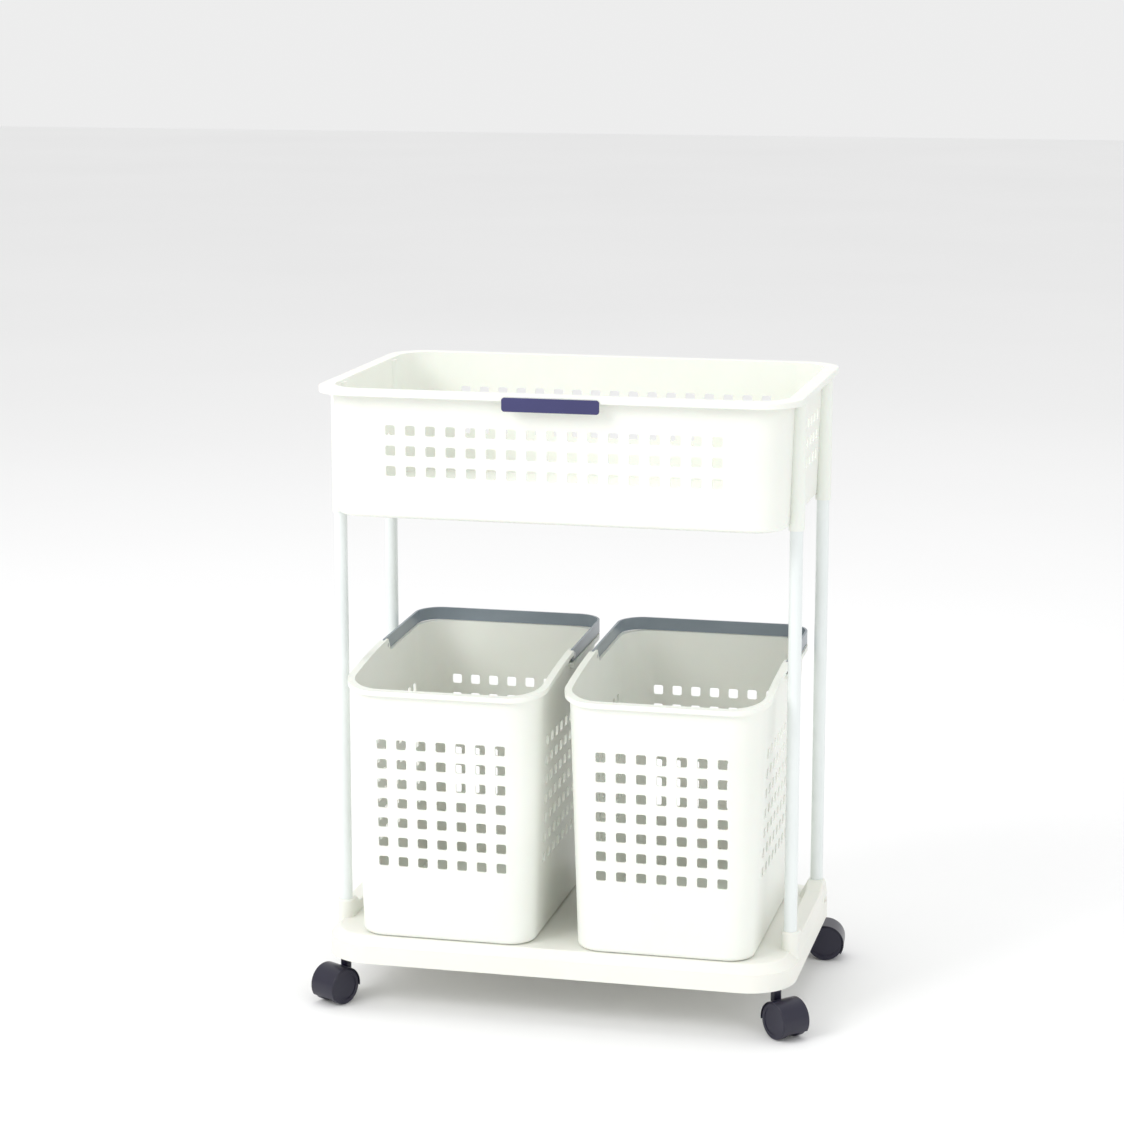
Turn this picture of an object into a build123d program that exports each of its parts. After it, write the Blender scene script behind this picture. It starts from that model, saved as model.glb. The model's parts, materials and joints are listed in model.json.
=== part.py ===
"""Slim laundry trolley: wheeled tray, two pull-out baskets with bail handles, basket on four poles.

Millimetres. +Z is up, -Y is the front, the floor is Z = 0 and the origin is the middle of the footprint.
"""

import os
from math import radians, tan

from build123d import *

# Base tray
TRAY_WIDTH = 474.0
TRAY_DEPTH = 303.0
TRAY_CORNER = 48.0
SKIRT_BOTTOM = 49.0
SKIRT_TOP = 67.0
TRAY_TOP = 76.0
TRAY_WALL = 3.0
PLATFORM_BACK = 144.5
PLATFORM_BACK_CORNER = 86.0
PLATFORM_SLOPE = 41.0
PLATFORM_INSET = 1.0
PLATFORM_EDGE = 3.0
BOSS_RADIUS = 8.6
BOSS_FOOT_RADIUS = 19.0
BOSS_BOTTOM = 53.0
BOSS_FOOT = 74.0
BOSS_WAIST = 93.0
BOSS_TOP = 95.0
RAIL_TOP = 87.0
RAIL_RAMP = 12.0
RAIL_FILLET = 8.0
RAIL_EDGE = 2.0
SKIRT_DRAFT = 1.0

# Poles
POLE_X = 228.0
POLE_Y = 87.5
POLE_RADIUS = 6.5
POLE_WALL = 1.0
POLE_BOTTOM = 71.0
POLE_TOP = 608.0
POLE_CLEARANCE = 0.05
POLE_END_GAP = 1.0

# Top basket
TOP_HEIGHT = 626.0
TOP_FLOOR = 499.0
TOP_FOOT_WIDTH = 444.0
TOP_FOOT_DEPTH = 278.0
TOP_FOOT_CORNER = 32.0
TOP_DRAFT = 1.8
RIM_WIDTH = 475.0
RIM_DEPTH = 311.0
RIM_CORNER = 40.0
RIM_LIP = 6.0
RIM_EDGE = 1.2
RIM_ROOT = 3.2
SLEEVE_RADIUS = 7.9
SLEEVE_BOTTOM = 495.0
TOP_COLUMNS = 17
TOP_SIDE_COLUMNS = 7
TOP_ROWS = 3
TOP_ROW_MIDDLE = 566.0

# Lower baskets
BASKET_X = 110.0
BASKET_Y = -7.0
BASKET_FLOOR = 76.3
BASKET_TOP = 352.0
BASKET_FOOT_WIDTH = 177.0
BASKET_FOOT_DEPTH = 272.0
BASKET_FOOT_CORNER = 26.0
BASKET_DRAFT = 1.9
BASKET_SPREAD = (BASKET_TOP - BASKET_FLOOR) * tan(radians(BASKET_DRAFT))
BASKET_TOP_WIDTH = BASKET_FOOT_WIDTH + 2 * BASKET_SPREAD
BASKET_TOP_DEPTH = BASKET_FOOT_DEPTH + 2 * BASKET_SPREAD
BASKET_TOP_CORNER = BASKET_FOOT_CORNER + BASKET_SPREAD
FRONT_RIM = 330.5
MID_RIM_Y = -80.0
MID_RIM = 341.5
HINGE_RIM = 347.5
LEDGE_FRONT = 334.5
LEDGE_BACK = 338.6
BEAD_OVERHANG = 4.3
BEAD_HEIGHT = 5.0
BASKET_COLUMNS = 7
BASKET_SIDE_COLUMNS = 10
BASKET_ROWS = 7
BASKET_ROW_MIDDLE = 215.5

# Walls and holes shared by the baskets
WALL = 2.2
FLOOR_FILLET = 5.0
HOLE = 10.0
HOLE_CORNER = 2.0
HOLE_PITCH = 20.0

# Bail handles
HINGE_Y = -5.0
HINGE_Z = 341.3
HANDLE_TILT = 1.7
STRIP_HEIGHT = 13.0
STRIP_THICKNESS = 2.2
STRIP_HALF_WIDTH = 100.2
STRIP_BACK = 139.7
STRIP_CORNER = 27.0
STRIP_TRIM = 200.0
HINGE_GAP = 0.7
EAR_TOP_Y = -3.5
EAR_FOOT_Y = 3.0
RIVET_RADIUS = 2.0
RIVET_HEAD_RADIUS = 3.6
RIVET_HEAD = 1.0
RIVET_HEAD_TAPER = 30.0
RIVET_HEAD_GAP = 0.3
RIVET_TAIL = 0.6

# Badge
BADGE_LENGTH = 95.0
BADGE_HEIGHT = 13.5
BADGE_X = 2.0
BADGE_THICKNESS = 1.6
BADGE_MIDDLE_Z = 616.8
BADGE_CORNER = 3.0
BADGE_EDGE = 0.5
TAB_LENGTH = BADGE_LENGTH - 3.0
TAB_HEIGHT = BADGE_HEIGHT - 2.0
TAB_DEPTH = 2.0

# Casters
CASTER_X = 219.5
CASTER_Y = 118.0
CASTER_TRAIL = 15.0
WHEEL_RADIUS = 18.3
WHEEL_WIDTH = 9.0
WHEEL_SPACING = 20.8
HOOD_RADIUS = 19.6
HOOD_THICKNESS = 1.0
HOOD_WIDTH = 31.0
WEB_WIDTH = 11.0
WEB_RADIUS = 8.0
HOOD_EDGE = 0.9
HOOD_STEM_EDGE = 16.0
HOOD_TRAIL_EDGE = 8.0
HOOD_SLANT = 15.0
NECK_RADIUS = 5.25
NECK_BOTTOM = 22.0
NECK_TOP = 44.5
PIN_RADIUS = 3.5
PIN_BOTTOM = 28.0
PIN_TOP = 66.0
PIN_END_GAP = 0.5
PIN_CHAMFER = 0.8
SOCKET_RADIUS = 8.0
SOCKET_BOTTOM = 46.0
AXLE_RADIUS = 2.0
AXLE_END_GAP = 0.5
WHEEL_EDGE = 1.6
WHEEL_COVER = 2.5
WHEEL_DISH_RADIUS = 13.5
WHEEL_DISH = 0.6
RUNNING_CLEARANCE = 0.05
CASTERS = {
    "front_left": (-CASTER_X, -CASTER_Y, 241.5),
    "front_right": (CASTER_X, -CASTER_Y, -44.0),
    "rear_left": (-CASTER_X, CASTER_Y, 150.0),
    "rear_right": (CASTER_X, CASTER_Y, 5.0),
}

POLES = {
    "front_left": (-POLE_X, -POLE_Y),
    "front_right": (POLE_X, -POLE_Y),
    "rear_left": (-POLE_X, POLE_Y),
    "rear_right": (POLE_X, POLE_Y),
}


def save(part, node):
    part.label = node
    export_step(part, f"parts/{node}.step")


def hole_rows(columns, rows):
    """Square vent holes with rounded corners, on an even grid."""
    with GridLocations(HOLE_PITCH, HOLE_PITCH, columns, rows):
        RectangleRounded(HOLE, HOLE, HOLE_CORNER)


def badge_plane(y):
    """Upright plane facing forward, centred on the badge."""
    return Plane((BADGE_X, y, BADGE_MIDDLE_Z), x_dir=(1, 0, 0), z_dir=(0, -1, 0))


def make_rails():
    """Side rails that ramp up to the pole bosses."""
    ramp_top = POLE_Y - BOSS_RADIUS
    ramp_foot = ramp_top - RAIL_RAMP
    with BuildPart() as rails:
        for side in (-1, 1):
            with BuildSketch(Plane.YZ.offset(side * POLE_X - BOSS_RADIUS)):
                Polygon(
                    (-POLE_Y, SKIRT_TOP - TRAY_WALL),
                    (POLE_Y, SKIRT_TOP - TRAY_WALL),
                    (POLE_Y, BOSS_TOP),
                    (ramp_top, BOSS_TOP),
                    (ramp_foot, RAIL_TOP),
                    (-ramp_foot, RAIL_TOP),
                    (-ramp_top, BOSS_TOP),
                    (-POLE_Y, BOSS_TOP),
                    align=None,
                )
            extrude(amount=2 * BOSS_RADIUS)
        feet = rails.edges().filter_by(Axis.X).filter_by_position(Axis.Z, RAIL_TOP - 1, RAIL_TOP + 1)
        fillet(feet, radius=RAIL_FILLET)
        for x, y in POLES.values():
            with BuildSketch(Plane((x, y, BOSS_BOTTOM))):
                Circle(BOSS_RADIUS)
            extrude(amount=BOSS_TOP - BOSS_BOTTOM)
        tops = rails.edges().filter_by_position(Axis.Z, RAIL_TOP - 1, BOSS_TOP + 1)
        fillet(tops - rails.edges().filter_by(Axis.X), radius=RAIL_EDGE)
    return rails.part


def make_tray():
    rails = make_rails()
    platform_front = -TRAY_DEPTH / 2 + PLATFORM_INSET
    with BuildPart() as tray:
        # drafted skirt
        with BuildSketch(Plane.XY.offset(SKIRT_BOTTOM)):
            RectangleRounded(TRAY_WIDTH, TRAY_DEPTH, TRAY_CORNER)
        extrude(amount=SKIRT_TOP - SKIRT_BOTTOM, taper=SKIRT_DRAFT)
        # platform that the baskets stand on, with a lower ledge behind it
        with BuildSketch(Plane.XY.offset(SKIRT_TOP)) as platform:
            with BuildLine():
                half = TRAY_WIDTH / 2 - PLATFORM_INSET
                front_arc = TRAY_CORNER - PLATFORM_INSET
                Polyline(
                    (-half + front_arc, platform_front),
                    (half - front_arc, platform_front),
                )
                RadiusArc(
                    (half - front_arc, platform_front),
                    (half, platform_front + front_arc),
                    -front_arc,
                )
                Line((half, platform_front + front_arc), (half, PLATFORM_BACK - PLATFORM_BACK_CORNER))
                RadiusArc(
                    (half, PLATFORM_BACK - PLATFORM_BACK_CORNER),
                    (half - PLATFORM_BACK_CORNER, PLATFORM_BACK),
                    -PLATFORM_BACK_CORNER,
                )
                Line(
                    (half - PLATFORM_BACK_CORNER, PLATFORM_BACK),
                    (-half + PLATFORM_BACK_CORNER, PLATFORM_BACK),
                )
                RadiusArc(
                    (-half + PLATFORM_BACK_CORNER, PLATFORM_BACK),
                    (-half, PLATFORM_BACK - PLATFORM_BACK_CORNER),
                    -PLATFORM_BACK_CORNER,
                )
                Line((-half, PLATFORM_BACK - PLATFORM_BACK_CORNER), (-half, platform_front + front_arc))
                RadiusArc(
                    (-half, platform_front + front_arc),
                    (-half + front_arc, platform_front),
                    -front_arc,
                )
            make_face()
        extrude(amount=TRAY_TOP - SKIRT_TOP, taper=PLATFORM_SLOPE)
        fillet(tray.edges().filter_by(Plane.XY).group_by(Axis.Z)[-1], radius=PLATFORM_EDGE)
        # hollow underside
        with BuildSketch(Plane.XY.offset(SKIRT_BOTTOM)):
            RectangleRounded(TRAY_WIDTH - 2 * TRAY_WALL, TRAY_DEPTH - 2 * TRAY_WALL, TRAY_CORNER - TRAY_WALL)
        extrude(amount=SKIRT_TOP - SKIRT_BOTTOM - TRAY_WALL, taper=SKIRT_DRAFT, mode=Mode.SUBTRACT)
        add(rails)
        for x, y in POLES.values():
            # the rear bosses stand on flared feet
            if y > 0:
                with BuildSketch(Plane((x, y, BOSS_FOOT))):
                    Circle(BOSS_FOOT_RADIUS)
                with BuildSketch(Plane((x, y, BOSS_WAIST))):
                    Circle(BOSS_RADIUS)
                loft()
        # keep the flared feet inside the skirt
        with BuildSketch(Plane.XY.offset(SKIRT_BOTTOM)):
            RectangleRounded(TRAY_WIDTH, TRAY_DEPTH, TRAY_CORNER)
        extrude(amount=BOSS_TOP, mode=Mode.INTERSECT)
        # caster sockets under the tray
        for x, y, _heading in CASTERS.values():
            with BuildSketch(Plane((x, y, SOCKET_BOTTOM))):
                Circle(SOCKET_RADIUS)
            extrude(amount=SKIRT_TOP - SOCKET_BOTTOM)
            with BuildSketch(Plane((x, y, SOCKET_BOTTOM))):
                Circle(PIN_RADIUS + RUNNING_CLEARANCE)
            extrude(amount=PIN_TOP - SOCKET_BOTTOM + PIN_END_GAP, mode=Mode.SUBTRACT)
        for x, y in POLES.values():
            with BuildSketch(Plane((x, y, POLE_BOTTOM))):
                Circle(POLE_RADIUS + POLE_CLEARANCE)
            extrude(amount=BOSS_TOP - POLE_BOTTOM, mode=Mode.SUBTRACT)
    return tray.part


def make_pole(x, y):
    with BuildPart() as pole:
        with BuildSketch(Plane((x, y, POLE_BOTTOM))):
            Circle(POLE_RADIUS)
            Circle(POLE_RADIUS - POLE_WALL, mode=Mode.SUBTRACT)
        extrude(amount=POLE_TOP - POLE_BOTTOM)
    return pole.part


def make_top_basket():
    height = TOP_HEIGHT - TOP_FLOOR
    inner = 2 * WALL
    with BuildPart() as basket:
        with BuildSketch(Plane.XY.offset(TOP_FLOOR)):
            RectangleRounded(TOP_FOOT_WIDTH, TOP_FOOT_DEPTH, TOP_FOOT_CORNER)
        extrude(amount=height, taper=-TOP_DRAFT)
        fillet(basket.edges().filter_by(Plane.XY).group_by(Axis.Z)[0], radius=FLOOR_FILLET)
        # flat flange rim with a short lip
        with BuildSketch(Plane.XY.offset(TOP_HEIGHT - RIM_LIP)):
            RectangleRounded(RIM_WIDTH, RIM_DEPTH, RIM_CORNER)
        extrude(amount=RIM_LIP)
        fillet(basket.edges().filter_by(Plane.XY).group_by(Axis.Z)[-1], radius=RIM_EDGE)
        with BuildSketch(Plane.XY.offset(TOP_HEIGHT - RIM_LIP)):
            RectangleRounded(RIM_WIDTH - inner, RIM_DEPTH - inner, RIM_CORNER - WALL)
            RectangleRounded(
                TOP_FOOT_WIDTH + 2 * RIM_ROOT,
                TOP_FOOT_DEPTH + 2 * RIM_ROOT,
                TOP_FOOT_CORNER + RIM_ROOT,
                mode=Mode.SUBTRACT,
            )
        extrude(amount=RIM_LIP - WALL, mode=Mode.SUBTRACT)
        # sleeves for the poles
        for x, y in POLES.values():
            with BuildSketch(Plane((x, y, SLEEVE_BOTTOM))):
                Circle(SLEEVE_RADIUS)
            extrude(amount=TOP_HEIGHT - WALL - SLEEVE_BOTTOM)
        # inside
        with BuildSketch(Plane.XY.offset(TOP_FLOOR + WALL)):
            RectangleRounded(TOP_FOOT_WIDTH - inner, TOP_FOOT_DEPTH - inner, TOP_FOOT_CORNER - WALL)
        extrude(amount=height, taper=-TOP_DRAFT, mode=Mode.SUBTRACT)
        for x, y in POLES.values():
            with BuildSketch(Plane((x, y, SLEEVE_BOTTOM))):
                Circle(SLEEVE_RADIUS)
            extrude(amount=TOP_HEIGHT - WALL - SLEEVE_BOTTOM)
            with BuildSketch(Plane((x, y, SLEEVE_BOTTOM))):
                Circle(POLE_RADIUS + POLE_CLEARANCE)
            extrude(amount=POLE_TOP + POLE_END_GAP - SLEEVE_BOTTOM, mode=Mode.SUBTRACT)
        # vent holes through the front and back walls, then through the side walls
        with BuildSketch(Plane.XZ):
            with Locations((0, TOP_ROW_MIDDLE)):
                hole_rows(TOP_COLUMNS, TOP_ROWS)
        extrude(amount=RIM_DEPTH, both=True, mode=Mode.SUBTRACT)
        with BuildSketch(Plane.YZ):
            with Locations((0, TOP_ROW_MIDDLE)):
                hole_rows(TOP_SIDE_COLUMNS, TOP_ROWS)
        extrude(amount=RIM_WIDTH, both=True, mode=Mode.SUBTRACT)
        # backing tab for the badge
        with BuildSketch(badge_plane(-RIM_DEPTH / 2 + TAB_DEPTH)):
            RectangleRounded(TAB_LENGTH, TAB_HEIGHT, BADGE_CORNER)
        extrude(amount=TAB_DEPTH)
    return basket.part


def make_badge():
    with BuildPart() as badge:
        with BuildSketch(badge_plane(-RIM_DEPTH / 2)):
            RectangleRounded(BADGE_LENGTH, BADGE_HEIGHT, BADGE_CORNER)
        extrude(amount=BADGE_THICKNESS)
        fillet(badge.edges().filter_by(Plane.XZ).group_by(Axis.Y)[0], radius=BADGE_EDGE)
    return badge.part


def front_rim_line(start, drop):
    """Rim line seen from the side: level at the front, then rising in a gentle arc to the hinge."""
    front = BASKET_Y - BASKET_TOP_DEPTH / 2
    Line((start, FRONT_RIM - drop), (front, FRONT_RIM - drop))
    ThreePointArc(
        (front, FRONT_RIM - drop),
        (MID_RIM_Y, MID_RIM - drop),
        (bead_end(), HINGE_RIM - drop),
    )


def bead_end():
    """The front rim stops just ahead of the handle's rounded end."""
    return HINGE_Y - STRIP_HEIGHT / 2 - HINGE_GAP


def make_bead():
    """Rolled edge under the rim line, stepping down to a ledge under the folded handle."""
    edge = BASKET_TOP_DEPTH
    width = BASKET_TOP_WIDTH + 2 * BEAD_OVERHANG
    depth = BASKET_TOP_DEPTH + 2 * BEAD_OVERHANG
    corner = BASKET_TOP_CORNER + BEAD_OVERHANG
    with BuildPart() as bead:
        with BuildSketch(Plane((0, BASKET_Y, FRONT_RIM - 2 * BEAD_HEIGHT))):
            RectangleRounded(width, depth, corner)
        extrude(amount=BASKET_TOP - FRONT_RIM + 2 * BEAD_HEIGHT)
        with BuildSketch(Plane.YZ):
            with BuildLine():
                front_rim_line(-edge, 0)
                Polyline(
                    (bead_end(), HINGE_RIM),
                    (bead_end(), LEDGE_FRONT),
                    (0, LEDGE_FRONT),
                    (BASKET_Y + BASKET_TOP_DEPTH / 2, LEDGE_BACK),
                    (edge, LEDGE_BACK),
                    (edge, 0),
                    (-edge, 0),
                    (-edge, FRONT_RIM),
                )
            make_face()
        extrude(amount=width, both=True, mode=Mode.INTERSECT)
        with BuildSketch(Plane.YZ):
            with BuildLine():
                front_rim_line(-edge, BEAD_HEIGHT)
                Polyline(
                    (bead_end(), HINGE_RIM - BEAD_HEIGHT),
                    (bead_end(), LEDGE_FRONT - BEAD_HEIGHT),
                    (0, LEDGE_FRONT - BEAD_HEIGHT),
                    (BASKET_Y + BASKET_TOP_DEPTH / 2, LEDGE_BACK - BEAD_HEIGHT),
                    (edge, LEDGE_BACK - BEAD_HEIGHT),
                    (edge, 0),
                    (-edge, 0),
                    (-edge, FRONT_RIM - BEAD_HEIGHT),
                )
            make_face()
        extrude(amount=width, both=True, mode=Mode.SUBTRACT)
    return bead.part


def make_lower_basket():
    height = BASKET_TOP - BASKET_FLOOR
    inner = 2 * WALL
    edge = BASKET_TOP_DEPTH
    bead = make_bead()
    with BuildPart() as basket:
        with BuildSketch(Plane((0, BASKET_Y, BASKET_FLOOR))):
            RectangleRounded(BASKET_FOOT_WIDTH, BASKET_FOOT_DEPTH, BASKET_FOOT_CORNER)
        extrude(amount=height, taper=-BASKET_DRAFT)
        fillet(basket.edges().filter_by(Plane.XY).group_by(Axis.Z)[0], radius=FLOOR_FILLET)
        # trim to the rim line, leaving a slanted ear behind each rivet
        with BuildSketch(Plane.YZ):
            with BuildLine():
                front_rim_line(-edge, 0)
                Polyline(
                    (bead_end(), HINGE_RIM),
                    (EAR_TOP_Y, HINGE_RIM),
                    (EAR_FOOT_Y, LEDGE_FRONT),
                    (BASKET_Y + BASKET_TOP_DEPTH / 2, LEDGE_BACK),
                    (edge, LEDGE_BACK),
                    (edge, 0),
                    (-edge, 0),
                    (-edge, FRONT_RIM),
                )
            make_face()
        extrude(amount=BASKET_TOP_WIDTH, both=True, mode=Mode.INTERSECT)
        add(bead)
        # inside
        with BuildSketch(Plane((0, BASKET_Y, BASKET_FLOOR + WALL))):
            RectangleRounded(BASKET_FOOT_WIDTH - inner, BASKET_FOOT_DEPTH - inner, BASKET_FOOT_CORNER - WALL)
        extrude(amount=height, taper=-BASKET_DRAFT, mode=Mode.SUBTRACT)
        # rivet holes
        with BuildSketch(Plane.YZ):
            with Locations((HINGE_Y, HINGE_Z)):
                Circle(RIVET_RADIUS)
        extrude(amount=BASKET_TOP_WIDTH, both=True, mode=Mode.SUBTRACT)
        # vent holes
        with BuildSketch(Plane.XZ):
            with Locations((0, BASKET_ROW_MIDDLE)):
                hole_rows(BASKET_COLUMNS, BASKET_ROWS)
        extrude(amount=BASKET_TOP_DEPTH, both=True, mode=Mode.SUBTRACT)
        with BuildSketch(Plane.YZ):
            with Locations((BASKET_Y, BASKET_ROW_MIDDLE)):
                hole_rows(BASKET_SIDE_COLUMNS, BASKET_ROWS)
        extrude(amount=BASKET_TOP_WIDTH, both=True, mode=Mode.SUBTRACT)
    return basket.part


def make_handle():
    """Flat strip bent into a U, folded back on the ledge."""
    reach = STRIP_BACK - HINGE_Y
    tilted = Plane((0, HINGE_Y, HINGE_Z), x_dir=(1, 0, 0), z_dir=(0, 0, 1)).rotated((HANDLE_TILT, 0, 0))
    with BuildPart() as handle:
        with BuildSketch(tilted.offset(-STRIP_HEIGHT / 2)):
            with Locations((0, (reach - STRIP_TRIM) / 2)):
                RectangleRounded(2 * STRIP_HALF_WIDTH, reach + STRIP_TRIM, STRIP_CORNER)
                RectangleRounded(
                    2 * (STRIP_HALF_WIDTH - STRIP_THICKNESS),
                    reach + STRIP_TRIM - 2 * STRIP_THICKNESS,
                    STRIP_CORNER - STRIP_THICKNESS,
                    mode=Mode.SUBTRACT,
                )
            # cut the closed loop open ahead of the hinge
            with Locations((0, -STRIP_TRIM)):
                Rectangle(3 * STRIP_HALF_WIDTH, 2 * STRIP_TRIM, mode=Mode.SUBTRACT)
        extrude(amount=STRIP_HEIGHT)
        # rounded ends around the rivets
        for side in (-1, 1):
            outside = side * STRIP_HALF_WIDTH
            with BuildSketch(Plane.YZ.offset(outside)):
                with Locations((HINGE_Y, HINGE_Z)):
                    Circle(STRIP_HEIGHT / 2)
            extrude(amount=-side * STRIP_THICKNESS)
        with BuildSketch(Plane.YZ):
            with Locations((HINGE_Y, HINGE_Z)):
                Circle(RIVET_RADIUS + RUNNING_CLEARANCE)
        extrude(amount=2 * STRIP_HALF_WIDTH, both=True, mode=Mode.SUBTRACT)
    return handle.part


def make_rivets():
    """Pair of rivets through the basket's ears, headed outside the handle."""
    inside = BASKET_TOP_WIDTH / 2 - WALL - RIVET_TAIL
    under_head = STRIP_HALF_WIDTH + RIVET_HEAD_GAP
    with BuildPart() as rivets:
        for side in (-1, 1):
            shank = Plane((side * inside, HINGE_Y, HINGE_Z), x_dir=(0, 1, 0), z_dir=(side, 0, 0))
            with BuildSketch(shank):
                Circle(RIVET_RADIUS)
            extrude(amount=under_head - inside)
            with BuildSketch(shank.offset(under_head - inside)):
                Circle(RIVET_HEAD_RADIUS)
            extrude(amount=RIVET_HEAD, taper=RIVET_HEAD_TAPER)
    return rivets.part


def caster_plane(x, y, heading, z=0.0):
    """Local frame of a caster: its X axis points from the pin to the axle."""
    return Plane((x, y, z), x_dir=Vector(1, 0, 0).rotate(Axis.Z, heading), z_dir=(0, 0, 1))


def wheel_plane(x, y, heading, offset=0.0):
    """Plane across the axle at a distance along it from the caster's middle."""
    trail = Vector(CASTER_TRAIL, 0, 0).rotate(Axis.Z, heading)
    across = Vector(0, 1, 0).rotate(Axis.Z, heading)
    centre = Vector(x, y, WHEEL_RADIUS) + trail + across * offset
    return Plane(centre, x_dir=Vector(1, 0, 0).rotate(Axis.Z, heading), z_dir=across)


def make_housing(x, y, heading):
    """Twin-wheel caster body: hood, web between the wheels and neck around the pin."""
    hood_middle = wheel_plane(x, y, heading, -HOOD_WIDTH / 2)
    web_middle = wheel_plane(x, y, heading, -WEB_WIDTH / 2)
    side = wheel_plane(x, y, heading)
    reach = 2 * HOOD_RADIUS
    with BuildPart() as housing:
        with BuildSketch(hood_middle):
            Circle(HOOD_RADIUS)
        extrude(amount=HOOD_WIDTH)
        fillet(housing.edges().filter_by(GeomType.CIRCLE), radius=HOOD_EDGE)
        for offset in (-HOOD_WIDTH / 2, WEB_WIDTH / 2):
            with BuildSketch(wheel_plane(x, y, heading, offset)):
                Circle(HOOD_RADIUS - HOOD_THICKNESS)
            extrude(amount=(HOOD_WIDTH - WEB_WIDTH) / 2, mode=Mode.SUBTRACT)
        # open the hood below a slanted line, lower on the trailing side
        # (the Y axis of this plane points down from the axle)
        with BuildSketch(side):
            Polygon(
                (-reach, WHEEL_RADIUS - HOOD_STEM_EDGE),
                (-HOOD_SLANT, WHEEL_RADIUS - HOOD_STEM_EDGE),
                (HOOD_SLANT, WHEEL_RADIUS - HOOD_TRAIL_EDGE),
                (reach, WHEEL_RADIUS - HOOD_TRAIL_EDGE),
                (reach, reach),
                (-reach, reach),
                align=None,
            )
        extrude(amount=HOOD_WIDTH, both=True, mode=Mode.SUBTRACT)
        with BuildSketch(web_middle):
            Circle(WEB_RADIUS)
        extrude(amount=WEB_WIDTH)
        with BuildSketch(caster_plane(x, y, heading, NECK_BOTTOM)):
            Circle(NECK_RADIUS)
        extrude(amount=NECK_TOP - NECK_BOTTOM)
        with BuildSketch(caster_plane(x, y, heading, PIN_BOTTOM)):
            Circle(PIN_RADIUS + RUNNING_CLEARANCE)
        extrude(amount=NECK_TOP - PIN_BOTTOM, mode=Mode.SUBTRACT)
        with BuildSketch(web_middle):
            Circle(AXLE_RADIUS)
        extrude(amount=WEB_WIDTH, mode=Mode.SUBTRACT)
    return housing.part


def make_wheel(x, y, heading, side):
    inner = side * (WHEEL_SPACING - WHEEL_WIDTH) / 2
    outer = side * (WHEEL_SPACING + WHEEL_WIDTH) / 2
    start = min(inner, outer)
    with BuildPart() as wheel:
        with BuildSketch(wheel_plane(x, y, heading, start)):
            Circle(WHEEL_RADIUS)
        extrude(amount=WHEEL_WIDTH)
        fillet(wheel.edges().filter_by(GeomType.CIRCLE), radius=WHEEL_EDGE)
        # shallow dish on the outer face
        with BuildSketch(wheel_plane(x, y, heading, outer)):
            Circle(WHEEL_DISH_RADIUS)
        extrude(amount=-side * WHEEL_DISH, mode=Mode.SUBTRACT)
        # blind bore for the axle
        with BuildSketch(wheel_plane(x, y, heading, inner)):
            Circle(AXLE_RADIUS + RUNNING_CLEARANCE)
        extrude(amount=side * (WHEEL_WIDTH - WHEEL_COVER), mode=Mode.SUBTRACT)
    return wheel.part


def make_axle(x, y, heading):
    length = WHEEL_SPACING + WHEEL_WIDTH - 2 * WHEEL_COVER - 2 * AXLE_END_GAP
    with BuildPart() as axle:
        with BuildSketch(wheel_plane(x, y, heading, -length / 2)):
            Circle(AXLE_RADIUS)
        extrude(amount=length)
    return axle.part


def make_pin(x, y):
    with BuildPart() as pin:
        with BuildSketch(Plane((x, y, PIN_BOTTOM + PIN_END_GAP))):
            Circle(PIN_RADIUS)
        extrude(amount=PIN_TOP - PIN_BOTTOM - PIN_END_GAP)
        chamfer(pin.edges().group_by(Axis.Z)[-1], length=PIN_CHAMFER)
    return pin.part


os.makedirs("parts", exist_ok=True)

save(make_tray(), "base_tray")
for corner, (x, y) in POLES.items():
    save(make_pole(x, y), f"pole_{corner}")
save(make_top_basket(), "top_basket")
save(make_badge(), "front_badge")
basket = make_lower_basket()
handle = make_handle()
rivets = make_rivets()
for side, x in (("left", -BASKET_X), ("right", BASKET_X)):
    save(basket.moved(Location((x, 0, 0))), f"{side}_basket")
    save(handle.moved(Location((x, 0, 0))), f"{side}_handle")
    save(rivets.moved(Location((x, 0, 0))), f"{side}_handle_rivets")
for corner, (x, y, heading) in CASTERS.items():
    save(make_housing(x, y, heading), f"caster_{corner}_housing")
    save(make_pin(x, y), f"caster_{corner}_pin")
    save(make_axle(x, y, heading), f"caster_{corner}_axle")
    save(make_wheel(x, y, heading, -1), f"caster_{corner}_wheel_a")
    save(make_wheel(x, y, heading, 1), f"caster_{corner}_wheel_b")
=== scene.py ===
"""Looks for the slim laundry sorter: off-white plastic, white poles, grey bail handles, dark twin-wheel casters."""

import json
import math

import bpy
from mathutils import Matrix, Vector

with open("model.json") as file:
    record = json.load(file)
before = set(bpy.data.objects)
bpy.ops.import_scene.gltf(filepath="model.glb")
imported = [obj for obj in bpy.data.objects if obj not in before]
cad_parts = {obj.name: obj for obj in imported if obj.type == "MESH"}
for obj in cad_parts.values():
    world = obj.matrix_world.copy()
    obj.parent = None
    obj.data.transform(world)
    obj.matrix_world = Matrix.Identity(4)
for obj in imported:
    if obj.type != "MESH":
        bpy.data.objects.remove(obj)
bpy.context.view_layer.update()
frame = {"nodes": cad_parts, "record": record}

CAMERA_PLACE = (0.6433, -2.8286, 1.0161)
CAMERA_YAW = 0.2314
CAMERA_PITCH = 0.1972
CAMERA_LENS = 94.2
CORNERS = ("front_left", "front_right", "rear_left", "rear_right")


# Materials


def new_material(name):
    material = bpy.data.materials.new(name)
    material.use_nodes = True
    tree = material.node_tree
    shader = next(n for n in tree.nodes if n.type == "BSDF_PRINCIPLED")
    return material, tree, shader


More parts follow.
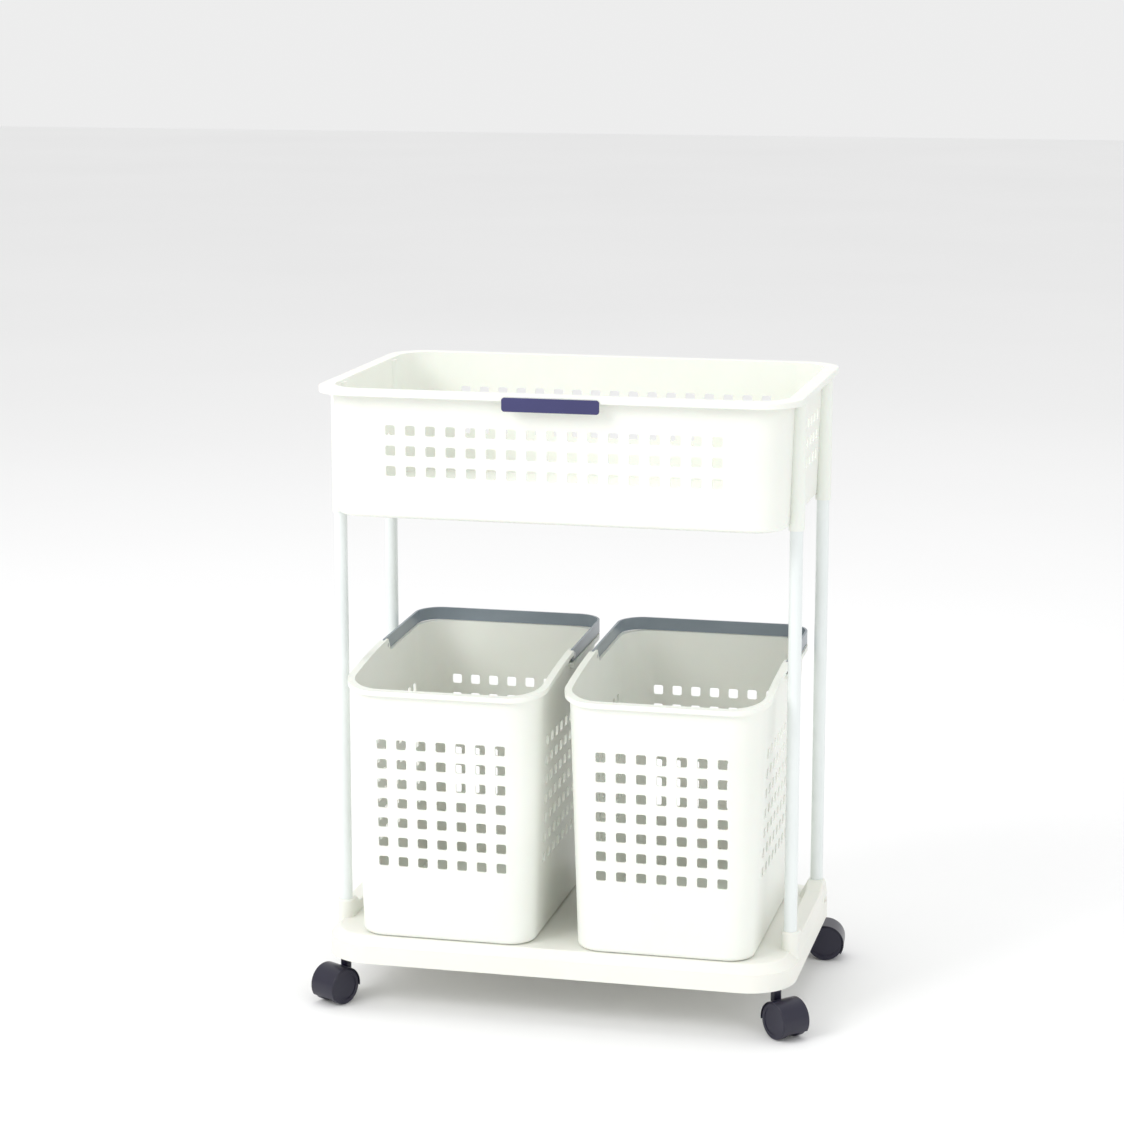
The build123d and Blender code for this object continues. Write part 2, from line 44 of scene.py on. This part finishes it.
def mottled(tree, shader, dark, light, scale, detail=4.0):
    """Very soft variation between two close colours, in object space."""
    place = tree.nodes.new("ShaderNodeTexCoord")
    noise = tree.nodes.new("ShaderNodeTexNoise")
    noise.inputs["Scale"].default_value = scale
    noise.inputs["Detail"].default_value = detail
    ramp = tree.nodes.new("ShaderNodeValToRGB")
    ramp.color_ramp.elements[0].position = 0.3
    ramp.color_ramp.elements[0].color = (*dark, 1)
    ramp.color_ramp.elements[1].position = 0.7
    ramp.color_ramp.elements[1].color = (*light, 1)
    tree.links.new(place.outputs["Object"], noise.inputs["Vector"])
    tree.links.new(noise.outputs["Fac"], ramp.inputs["Fac"])
    tree.links.new(ramp.outputs["Color"], shader.inputs["Base Color"])
    return place, noise


def grain(tree, shader, place, scale, strength, distance):
    """Fine surface bump."""
    noise = tree.nodes.new("ShaderNodeTexNoise")
    noise.inputs["Scale"].default_value = scale
    noise.inputs["Detail"].default_value = 3.0
    bump = tree.nodes.new("ShaderNodeBump")
    bump.inputs["Strength"].default_value = strength
    bump.inputs["Distance"].default_value = distance
    tree.links.new(place.outputs["Object"], noise.inputs["Vector"])
    tree.links.new(noise.outputs["Fac"], bump.inputs["Height"])
    tree.links.new(bump.outputs["Normal"], shader.inputs["Normal"])


def plastic(name, dark, light, roughness, subsurface=0.0, bump=0.06):
    material, tree, shader = new_material(name)
    shader.inputs["Roughness"].default_value = roughness
    shader.inputs["Subsurface Weight"].default_value = subsurface
    shader.inputs["Subsurface Scale"].default_value = 0.004
    place, _ = mottled(tree, shader, dark, light, 9.0)
    grain(tree, shader, place, 900.0, bump, 0.0002)
    return material


def painted_steel(name, dark, light, roughness, coat):
    material, tree, shader = new_material(name)
    shader.inputs["Roughness"].default_value = roughness
    shader.inputs["Coat Weight"].default_value = coat
    shader.inputs["Coat Roughness"].default_value = 0.15
    place, _ = mottled(tree, shader, dark, light, 14.0)
    grain(tree, shader, place, 600.0, 0.04, 0.0001)
    return material


def bare_steel(name, dark, light, roughness):
    material, tree, shader = new_material(name)
    shader.inputs["Metallic"].default_value = 1.0
    shader.inputs["Roughness"].default_value = roughness
    place, _ = mottled(tree, shader, dark, light, 300.0)
    grain(tree, shader, place, 2500.0, 0.05, 0.00005)
    return material


materials = {
    "tray_plastic": plastic("tray_plastic", (0.82, 0.82, 0.76), (0.86, 0.86, 0.80), 0.42, 0.06),
    "basket_plastic": plastic("basket_plastic", (0.83, 0.85, 0.79), (0.87, 0.885, 0.83), 0.38, 0.06),
    "pole_steel": painted_steel("pole_steel", (0.78, 0.82, 0.81), (0.82, 0.86, 0.85), 0.3, 0.4),
    "handle_metal": painted_steel("handle_metal", (0.20, 0.24, 0.28), (0.24, 0.28, 0.32), 0.35, 0.3),
    "plain_steel": bare_steel("plain_steel", (0.5, 0.5, 0.52), (0.62, 0.62, 0.64), 0.3),
    "caster_plastic": plastic("caster_plastic", (0.010, 0.009, 0.022), (0.014, 0.013, 0.032), 0.28),
    "wheel_plastic": plastic("wheel_plastic", (0.012, 0.011, 0.026), (0.018, 0.017, 0.036), 0.42),
    "badge_plastic": plastic("badge_plastic", (0.035, 0.035, 0.12), (0.045, 0.045, 0.15), 0.25),
}

slots = {part["node"]: part["material_slot"] for part in frame["record"]["subparts"]}


def paint(piece, material):
    piece.data.materials.clear()
    piece.data.materials.append(material)


for node, piece in frame["nodes"].items():
    paint(piece, materials[slots[node]])


# Camera, light and floor


def add_camera():
    data = bpy.data.cameras.new("camera")
    data.lens = CAMERA_LENS
    data.sensor_width = 36.0
    data.clip_end = 50.0
    camera = bpy.data.objects.new("camera", data)
    camera.location = CAMERA_PLACE
    camera.rotation_euler = (math.pi / 2 - CAMERA_PITCH, 0.0, CAMERA_YAW)
    bpy.context.scene.collection.objects.link(camera)
    bpy.context.scene.camera = camera


def add_area(name, place, aim, size, power, colour=(1.0, 1.0, 1.0)):
    data = bpy.data.lights.new(name, "AREA")
    data.shape = "RECTANGLE"
    data.size, data.size_y = size
    data.energy = power
    data.color = colour
    lamp = bpy.data.objects.new(name, data)
    lamp.location = place
    lamp.rotation_euler = (Vector(aim) - Vector(place)).to_track_quat("-Z", "Y").to_euler()
    bpy.context.scene.collection.objects.link(lamp)


def add_floor():
    bpy.ops.mesh.primitive_plane_add(size=24.0, location=(0.0, 4.0, -0.0002))
    floor = bpy.context.object
    floor.name = "floor"
    material, tree, shader = new_material("floor")
    shader.inputs["Roughness"].default_value = 0.9
    shader.inputs["Specular IOR Level"].default_value = 0.1
    mottled(tree, shader, (0.93, 0.93, 0.93), (0.95, 0.95, 0.95), 0.7)
    paint(floor, material)


def add_world():
    world = bpy.data.worlds.new("studio")
    bpy.context.scene.world = world
    world.use_nodes = True
    background = world.node_tree.nodes["Background"]
    background.inputs["Color"].default_value = (1.0, 1.0, 1.0, 1.0)
    background.inputs["Strength"].default_value = 0.85


add_camera()
add_world()
add_area("key", (-2.2, -2.6, 2.6), (0.0, 0.0, 0.3), (1.8, 1.8), 60.0)
add_area("fill", (2.6, -1.8, 1.6), (0.0, 0.0, 0.3), (2.0, 2.0), 12.0, (0.92, 0.96, 1.0))
add_area("top", (0.0, 0.4, 3.4), (0.0, 0.0, 0.3), (2.2, 2.2), 22.0)
add_floor()

bpy.context.scene.view_settings.view_transform = "Standard"
